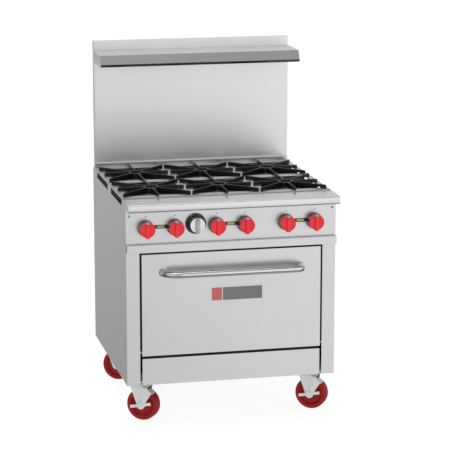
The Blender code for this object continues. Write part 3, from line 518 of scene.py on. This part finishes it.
def build_knob(cad_node, side, cap, bar, radius):
    """Knob with a metal skirt and side, a dished cap, a grip bar and a pointer insert."""
    frame_here, height = knob_frame(cad_node)
    body = BODY_OF[cad_node]
    rim = height - BAR_RISE
    bm = bmesh.new()
    add_lathe(bm, [(0, 0), (radius + 0.0015, 0), (radius + 0.0020, 0.002), (radius + 0.0018, 0.005),
                   (radius + 0.0002, 0.0075), (radius, 0.0105), (radius - 0.0010, rim - 0.004),
                   (radius - 0.0006, rim - 0.001), (radius - 0.0012, rim), (0, rim)], frame_here, 56)
    add_piece(f"{cad_node}_skirt", bm, side, body, (cad_node,))
    bm = bmesh.new()
    face = radius - 0.0006
    add_lathe(bm, [(0, rim), (face - 0.0010, rim), (face, rim + 0.0006), (face, rim + 0.0026),
                   (face - 0.0012, rim + 0.0038), (face - 0.0034, rim + 0.0040),
                   (face - 0.0058, rim + 0.0022), (face - 0.0090, rim + 0.0012), (0, rim + 0.0010)],
              frame_here, 56)
    add_piece(f"{cad_node}_cap", bm, cap, body)
    bm = bmesh.new()
    bottom, top = -(radius + 0.0026), radius - 0.0075
    sections = ((rim + 0.0008, BAR_WIDE, 0.0), (height - 0.0022, BAR_SLIM + 0.0004, 0.0),
                (height - 0.0006, BAR_SLIM - 0.0006, 0.0010), (height, BAR_SLIM - 0.0022, 0.0030))
    rings = []
    for level, half, inset in sections:
        head, toe = top - inset, bottom + inset
        outline = [(-half, head - 0.0015), (-half * 0.6, head), (half * 0.6, head), (half, head - 0.0015),
                   (half, toe + 0.0036), (half * 0.94, toe + 0.0014), (half * 0.72, toe + 0.0002),
                   (-half * 0.72, toe + 0.0002), (-half * 0.94, toe + 0.0014), (-half, toe + 0.0036)]
        rings.append([bm.verts.new(frame_here @ Vector((x, y, level))) for x, y in outline])
    for low, high in zip(rings, rings[1:]):
        for i in range(len(low)):
            bm.faces.new((low[i], low[(i + 1) % len(low)], high[(i + 1) % len(high)], high[i]))
    bm.faces.new(reversed(rings[0]))
    bm.faces.new(rings[-1])
    add_piece(f"{cad_node}_grip", bm, bar, body, sharp=50)
    bm = bmesh.new()
    add_plate(bm, rounded(0.0068, 0.0036, 0.0016), rim - 0.002, rim + 0.0060,
              frame_here @ Matrix.Translation((0.0, radius - 0.0042, 0)))
    soften(add_piece(f"{cad_node}_pointer", bm, BAR_GREY, body), 0.0006)


def build_controls():
    """Six red knobs, and the white thermostat knob in its dial ring with one mark."""
    for number in KNOBS:
        build_knob(f"burner_knob_{number}", KNOB_SKIRT_PAINTED_REFLECTION, RED_PLASTIC, RED_PLASTIC, RED_KNOB_R)
    build_knob("thermostat_knob", CHROME, WHITE_PLASTIC, BAR_GREY, WHITE_KNOB_R)
    low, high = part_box("thermostat_bezel")
    frame_here, thick = knob_frame("thermostat_bezel")
    outer = (high.x - low.x) / 2
    bm = bmesh.new()
    add_lathe(bm, [(DIAL_R, 0), (outer, 0), (outer, thick * 0.5), (outer - 0.0012, thick * 0.92),
                   (outer - 0.003, thick), (DIAL_R + 0.0065, thick), (DIAL_R + 0.004, thick * 0.6),
                   (DIAL_R, thick * 0.6)], frame_here, 72, closed=True)
    add_piece("thermostat_bezel_ring", bm, BLACK, "root", ("thermostat_bezel",), sharp=50)
    bm = bmesh.new()
    turned = frame_here @ Matrix.Rotation(math.radians(MARK_ANGLE), 4, "Z")
    mark = turned @ Matrix.Translation((0, outer - 0.0055, thick))
    add_plate(bm, rounded(0.0052, 0.0014, 0.0008, 3), -0.0002, 0.0003, mark)
    add_piece("thermostat_bezel_mark", bm, GOLD, "root")


def build_panel_trim():
    """Blank label strips, pilot eyelets, lower fold and corner screws on the control panel."""
    knobs = [centre_of(f"burner_knob_{number}") for number in KNOBS]
    for number, (left, right) in enumerate(zip(knobs[::2], knobs[1::2]), start=1):
        middle = (left + right) / 2
        label = facing(Vector((middle.x, FACE_Y, middle.z + LABEL_RISE)))
        bm = bmesh.new()
        add_plate(bm, rounded((right.x - left.x) / 2 - 0.012, 0.0080, 0.0015, 3), 0, 0.0008, label)
        add_piece(f"label_strip_{number}", bm, PLATE_BLACK, "root")
        bm = bmesh.new()
        add_plate(bm, rounded(0.0155, 0.0046, 0.0008, 3), 0.0006, 0.0012, label)
        add_piece(f"label_patch_{number}", bm, GOLD, "root")
    bm = bmesh.new()
    for knob in knobs:
        spot = facing(Vector((knob.x, FACE_Y, knob.z + PILOT_RISE)))
        add_lathe(bm, [(0.0016, -0.001), (0.0034, 0), (0.0034, 0.0003), (0.0028, 0.0008), (0.0022, 0.0008),
                       (0.0016, 0.0003)], spot, 20, closed=True)
    add_piece("pilot_eyelets", bm, ZINC, "root")
    bm = bmesh.new()
    low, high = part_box("control_panel")
    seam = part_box("drip_tray")[1].z
    add_plate(bm, [(0.0004, seam + 0.0009), (0.0016, seam + 0.0006), (FOLD_DEPTH, seam + 0.0006),
                   (FOLD_DEPTH, low.z + 0.0010), (0.0022, low.z + 0.0010), (0.0004, low.z - 0.0002)],
              -high.x, high.x, ACROSS)
    add_piece("panel_lower_fold", bm, STEEL_X, "root")
    bm = bmesh.new()
    for side in (-1, 1):
        spot = facing(Vector((side * SCREW_X, FACE_Y, knobs[0].z + SCREW_RISE)))
        add_pan_screw(bm, spot, PANEL_SCREW_R)
    add_piece("panel_screws", bm, BOLT, "root", sharp=50)


# ---------------------------------------------------------------- cooktop

def grate_arm(tip, belly, angle):
    """Mesh of one cast arm from the hub to its tip, thinner at its top than at its foot."""
    top, foot, root = ARM_TOP, ARM_FOOT, ARM_FOOT - HUB_DROP
    outline = [(ARM_START, root), (belly - 0.024, root + 0.003), (belly - 0.008, foot - 0.006),
               (belly, foot), (tip, foot), (tip, top - 0.0030), (tip - 0.0015, top - 0.0008),
               (tip - 0.004, top), (ARM_START, top)]
    bm = bmesh.new()
    turned = Matrix.Rotation(angle, 4, "Z") @ Matrix.Rotation(math.pi / 2, 4, "X")
    add_plate(bm, outline, -1.0, 1.0, turned, lambda x, z: 0.0043 - 0.0015 * (z - root) / (top - root))
    bmesh.ops.recalc_face_normals(bm, faces=bm.faces)
    mesh = bpy.data.meshes.new("arm")
    bm.to_mesh(mesh)
    bm.free()
    return mesh


def united(base, others, name):
    """One clean mesh made of several closed ones by exact Booleans."""
    work = bpy.data.objects.new(name, base)
    SCENE.collection.objects.link(work)
    tools = []
    for mesh in others:
        tool = bpy.data.objects.new("tool", mesh)
        SCENE.collection.objects.link(tool)
        tools.append(tool)
        modifier = work.modifiers.new("Join", "BOOLEAN")
        modifier.operation = "UNION"
        modifier.solver = "EXACT"
        modifier.object = tool
    bpy.context.view_layer.update()
    mesh = bpy.data.meshes.new_from_object(work.evaluated_get(bpy.context.evaluated_depsgraph_get()))
    for obj in (work, *tools):
        bpy.data.objects.remove(obj)
    return mesh


def build_grates():
    """Six cast grates with drafted arms about a hub ring."""
    low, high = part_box("grate_1")
    slant = math.atan2(DIAGONAL_END_Y, ARM_END_X)
    diagonal = math.hypot(DIAGONAL_END_Y, ARM_END_X)
    arms = []
    for half_turn in (0.0, math.pi):
        arms.append(grate_arm(ARM_END_X, BELLY_X, half_turn))
        arms.append(grate_arm((high.y - low.y) / 2, BELLY_Y, half_turn + math.pi / 2))
        arms.append(grate_arm(diagonal, BELLY_DIAGONAL, half_turn + slant))
        arms.append(grate_arm(diagonal, BELLY_DIAGONAL, half_turn - slant))
    bm = bmesh.new()
    top, foot = ARM_TOP - 0.0018, ARM_FOOT - HUB_DROP + 0.001
    add_lathe(bm, [(HUB_HOLE_R, top - 0.002), (HUB_HOLE_R + 0.0015, top), (HUB_R - 0.0020, top),
                   (HUB_R - 0.0002, top - 0.002), (HUB_R, foot + 0.001), (HUB_R - 0.0010, foot),
                   (HUB_HOLE_R + 0.0008, foot), (HUB_HOLE_R, foot + 0.001)], steps=40, closed=True)
    bmesh.ops.recalc_face_normals(bm, faces=bm.faces)
    hub = bpy.data.meshes.new("hub")
    bm.to_mesh(hub)
    bm.free()
    shape = united(hub, arms, "grate")
    for number in GRATES:
        middle = centre_of(f"grate_{number}")
        bm = bmesh.new()
        bm.from_mesh(shape)
        bmesh.ops.translate(bm, verts=bm.verts, vec=(middle.x, middle.y, 0))
        body = f"grate_{number}"
        soften(add_piece(f"cast_grate_{number}", bm, IRON, body, (body,)), 0.0009)


def build_burner_heads():
    """Ported ring and worn cap on each burner casting; one stands under each grate."""
    for number in GRATES:
        refine(f"burner_{number}", 0.0012)
        middle, top = centre_of(f"grate_{(number + 2) % 6 + 1}"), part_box(f"burner_{number}")[1].z
        spot = Matrix.Translation((middle.x, middle.y, top))
        bm = bmesh.new()
        outline = []
        for i in range(PORTS * 2):
            radius = PORT_R if i % 2 else PORT_ROOT_R
            for shift in (0.2, 0.8):
                angle = math.pi * (i + shift) / PORTS
                outline.append((radius * math.cos(angle), radius * math.sin(angle)))
        add_plate(bm, outline, -0.0105, -0.0055, spot)
        add_piece(f"burner_ports_{number}", bm, IRON, "root")
        bm = bmesh.new()
        add_lathe(bm, [(0, -0.004), (0.0425, -0.004), (0.0430, -0.0025), (0.0405, 0.0), (0.0300, 0.0016),
                       (0.0260, 0.0012), (0.0120, 0.0020), (0, 0.0022)], spot, 40)
        add_piece(f"burner_cap_{number}", bm, WORN_IRON, "root", sharp=60)


# ---------------------------------------------------------------- door, shelf and back

def build_handle():
    """Bar handle bent back to the door, widely at the left and tightly at the right, on two collars."""
    low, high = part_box("door_handle")
    radius = (high.z - low.z) / 2
    bar_y, root_y, z = low.y + radius, high.y - 0.0002, (low.z + high.z) / 2
    end = high.x - radius
    turns = [math.radians(7.5 * i) for i in range(13)]
    route = [(HANDLE_SWEEP * (1 - math.cos(a)) - end, root_y + (bar_y - root_y) * math.sin(a), z)
             for a in turns]
    route += [(end - HANDLE_BEND * (1 - math.sin(a)), bar_y + HANDLE_BEND * (1 - math.cos(a)), z)
              for a in turns]
    route.append((end, root_y, z))
    bm = bmesh.new()
    add_tube(bm, route, radius, 32)
    add_piece("handle_bar", bm, TUBE_STEEL, "oven_door", ("door_handle",), sharp=50)
    bm = bmesh.new()
    for side in (-end, end):
        add_lathe(bm, [(radius - 0.002, 0.0003), (radius + 0.0022, 0.0003), (radius + 0.0022, 0.0014),
                       (radius + 0.0008, 0.0030), (radius - 0.002, 0.0030)],
                  facing(Vector((side, root_y, z))), 40, closed=True)
    add_piece("handle_collars", bm, BOLT, "oven_door")


def build_nameplate():
    """Blank plate on the door: a pale backing with a red field and a grey field."""
    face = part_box("door_shell")[0].y
    spot = facing(Vector((sum(PLATE_X) / 2, face, sum(PLATE_Z) / 2)))
    half_w, half_h = (PLATE_X[1] - PLATE_X[0]) / 2, (PLATE_Z[1] - PLATE_Z[0]) / 2
    bm = bmesh.new()
    add_plate(bm, rounded(half_w, half_h, 0.0022), 0, 0.0009, spot)
    soften(add_piece("nameplate_backing", bm, PLATE_PALE, "oven_door"), 0.0003)
    split = PLATE_SPLIT - half_w
    fields = (("red", PLATE_RED, -half_w, split), ("grey", PLATE_GREY, split, half_w))
    for name, material, start, end in fields:
        bm = bmesh.new()
        outline = rounded((end - start) / 2 - 0.0020, half_h - 0.0022, 0.0010)
        add_plate(bm, outline, 0.0007, 0.0014, spot @ Matrix.Translation(((start + end) / 2, 0, 0)))
        soften(add_piece(f"nameplate_{name}_field", bm, material, "oven_door"), 0.0003)


def build_shelf_painted_shade_and_rivets():
    """Black strip on the shelf's lower front fold as painted shade, for the shadow and dark reflection under the
    shelf's front, and rivets where its ends meet the riser.
    """
    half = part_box("high_shelf")[1].x
    bm = bmesh.new()
    # Black strip along the hem of the front fold: painted shade and painted dark reflection
    add_plate(bm, [(0.6050, 1.4802), (0.6042, 1.4776), (0.6126, 1.4682), (0.6290, 1.4676), (0.6290, 1.4684),
                   (0.6131, 1.4689), (0.6050, 1.4779), (0.6060, 1.4802)], -half, half, ACROSS)
    add_piece("shelf_hem_painted_shade", bm, BLACK, "root")
    bm = bmesh.new()
    for side, turn in ((-1, -90), (1, 90)):
        for depth in RIVET_DEPTHS:
            add_pan_screw(bm, facing(at(side * half, depth, RIVET_Z), turn), RIVET_R)
    add_piece("shelf_rivets", bm, BOLT, "root")


def build_back():
    """Screws round the back panel and up the riser, louvres, and a threaded gas inlet."""
    low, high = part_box("back_panel")
    riser_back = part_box("backsplash")[1].y
    bottom, top = low.z + BACK_SCREW_INSET, high.z - BACK_SCREW_INSET
    spots = [(x, z) for z in (bottom, bottom + 0.190, bottom + 0.380, bottom + 0.570, top)
             for x in (low.x + 0.012, high.x - 0.012)]
    spots += [(x, z) for x in (-BACK_SCREW_X, 0.0, BACK_SCREW_X) for z in (bottom, top)]
    bm = bmesh.new()
    for x, z in spots:
        add_hex_bolt(bm, facing(Vector((x, high.y, z)), 180), BACK_SCREW_R, BACK_SCREW_H)
    add_piece("back_screws", bm, BOLT, "root", sharp=50)
    bm = bmesh.new()
    louvre = [(0.0, 0.0), (0.0042, 0.0006), (0.0052, 0.0030), (0.0008, 0.0130), (0.0, 0.0135)]
    for row in range(LOUVRE_ROWS):
        z = low.z + LOUVRE_RISE + LOUVRE_STEP * row
        for x in LOUVRE_X:
            lying = Matrix(((0, 0, 1, x), (1, 0, 0, high.y), (0, 1, 0, z), (0, 0, 0, 1)))
            add_plate(bm, louvre, 0.0, LOUVRE_LONG, lying)
    soften(add_piece("back_louvres", bm, STEEL_Z, "root"), 0.0008)
    bm = bmesh.new()
    spot = facing(Vector((PIPE_X, high.y, PIPE_Z)), 180)
    reach = CAD_HIGH.y - high.y - 0.0004
    crests = [(THREAD_R + 0.0010 * (i % 2), 0.0045 + i * (reach - 0.0055) / THREAD_TURNS)
              for i in range(THREAD_TURNS + 1)]
    add_lathe(bm, [(THREAD_HOLE_R, 0.0005), (THREAD_R, 0.0005), *crests, (THREAD_R, reach),
                   (THREAD_HOLE_R, reach)], spot, 40, closed=True)
    add_piece("gas_inlet_thread", bm, ZINC, "root", sharp=20)
    bm = bmesh.new()
    add_lathe(bm, [(0.0140, 0.0), (0.0240, 0.0), (0.0240, 0.0012), (0.0225, 0.0024), (0.0160, 0.0024),
                   (0.0140, 0.0016)], spot, 40, closed=True)
    add_piece("gas_inlet_grommet", bm, BLACK, "root")
    bm = bmesh.new()
    for z in RISER_SCREW_Z:
        for x in (-RISER_SCREW_X, RISER_SCREW_X):
            add_pan_screw(bm, facing(Vector((x, riser_back, z)), 180), RISER_SCREW_R)
    add_piece("riser_screws", bm, BOLT, "root", sharp=50)


def build_gasket():
    """Woven rope seal round the door liner."""
    middle, half_h = sum(GASKET_Z) / 2, (GASKET_Z[1] - GASKET_Z[0]) / 2
    outline = rounded(GASKET_HALF_W, half_h, GASKET_BEND, 7)
    bm = bmesh.new()
    add_tube(bm, [at(x, GASKET_DEPTH, middle + y) for x, y in outline], GASKET_R, 14, loop=True)
    add_piece("door_gasket", bm, ROPE, "oven_door")


# ---------------------------------------------------------------- casters

def axle_frame(corner):
    """Frame at a caster's axle: Z along the axle, Y up."""
    joint = JOINTS[f"{corner}_roll"]
    along, up = Vector(joint["axis"]).normalized(), Vector((0, 0, 1))
    turned = Matrix((up.cross(along), up, along)).transposed().to_4x4()
    return Matrix.Translation(joint["pos_m"]) @ turned


def build_wheel(corner):
    """Moulded wheel with a round-shouldered tread, a dished face, a bearing and its seals."""
    frame_here = axle_frame(corner)
    body = f"caster_wheel_{corner}"
    outer = JOINTS[f"{corner}_roll"]["pos_m"][2]
    side = [(0.0070, 0.0260), (0.0155, 0.0260), (0.0175, 0.0245), (0.0185, 0.0150), (0.0200, 0.0140),
            (0.0440, 0.0140), (0.0465, 0.0150), (0.0500, 0.0235), (0.0515, 0.0242), (0.0522, 0.0236),
            (0.0530, 0.0242), (0.0630, 0.0250), (outer - 0.0040, 0.0240), (outer - 0.0016, 0.0215),
            (outer - 0.0004, 0.0185), (outer, 0.0140)]
    other_side = [(radius, -height) for radius, height in reversed(side)]
    bm = bmesh.new()
    add_lathe(bm, side + other_side, frame_here, 72, closed=True)
    add_piece(f"{corner}_tyre", bm, RED_TREAD, body, (body,), sharp=50)
    bm = bmesh.new()
    for face in (1, -1):
        add_lathe(bm, [(0.0064, 0.0255 * face), (0.0110, 0.0255 * face), (0.0110, 0.0268 * face),
                       (0.0100, 0.0278 * face), (0.0064, 0.0278 * face)], frame_here, 32, closed=True)
    add_piece(f"{corner}_bearing", bm, ZINC, body)
    bm = bmesh.new()
    for face in (1, -1):
        add_lathe(bm, [(0.0112, 0.0255 * face), (0.0142, 0.0255 * face), (0.0142, 0.0266 * face),
                       (0.0112, 0.0266 * face)], frame_here, 32, closed=True)
    add_piece(f"{corner}_seal", bm, BLACK, body)


def build_swivel(corner):
    """Pressed raceways of a swivel, its plate bolts and the washers on the axle."""
    spot = Matrix.Translation((*JOINTS[f"{corner}_swivel"]["pos_m"][:2], 0))
    bm = bmesh.new()
    add_lathe(bm, [(0.0270, 0.1532), (0.0325, 0.1532), (0.0335, 0.1545), (0.0330, 0.1590), (0.0310, 0.1625),
                   (0.0290, 0.1646), (0.0270, 0.1650)], spot, 48, closed=True)
    frame_here = axle_frame(corner)
    for face in (1, -1):
        add_lathe(bm, [(0.0060, 0.0322 * face), (0.0140, 0.0322 * face), (0.0140, 0.0336 * face),
                       (0.0132, 0.0342 * face), (0.0060, 0.0342 * face)], frame_here, 28, closed=True)
    add_piece(f"{corner}_race", bm, ZINC, f"caster_fork_{corner}")
    bm = bmesh.new()
    add_lathe(bm, [(0.0250, 0.1657), (0.0275, 0.1657), (0.0300, 0.1675), (0.0330, 0.1735), (0.0345, 0.1780),
                   (0.0365, PLATE_UNDERSIDE), (0.0250, PLATE_UNDERSIDE)], spot, 48, closed=True)
    low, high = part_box(f"caster_plate_{corner}")
    for x in (low.x + PLATE_BOLT_INSET, high.x - PLATE_BOLT_INSET):
        for y in (low.y + PLATE_BOLT_INSET, high.y - PLATE_BOLT_INSET):
            hanging = Matrix.Translation((x, y, PLATE_UNDERSIDE)) @ Matrix.Rotation(math.pi, 4, "X")
            add_hex_bolt(bm, hanging, PLATE_BOLT_R, PLATE_BOLT_H)
    add_piece(f"{corner}_plate_trim", bm, ZINC, "root", sharp=40)


SCENE.view_settings.view_transform = "Standard"
build_camera()
build_floor()
build_world()
build_lights()

build_controls()
build_panel_trim()
build_grates()
build_burner_heads()
build_handle()
build_nameplate()
build_shelf_painted_shade_and_rivets()
build_back()
build_gasket()
for corner in CASTERS:
    build_wheel(corner)
    build_swivel(corner)

# Nodes that no piece stands for yet keep their shape
for name in [name for name in CAD if not CAD[name].hide_render]:
    refine(name, material=OWN_STEEL.get(name))
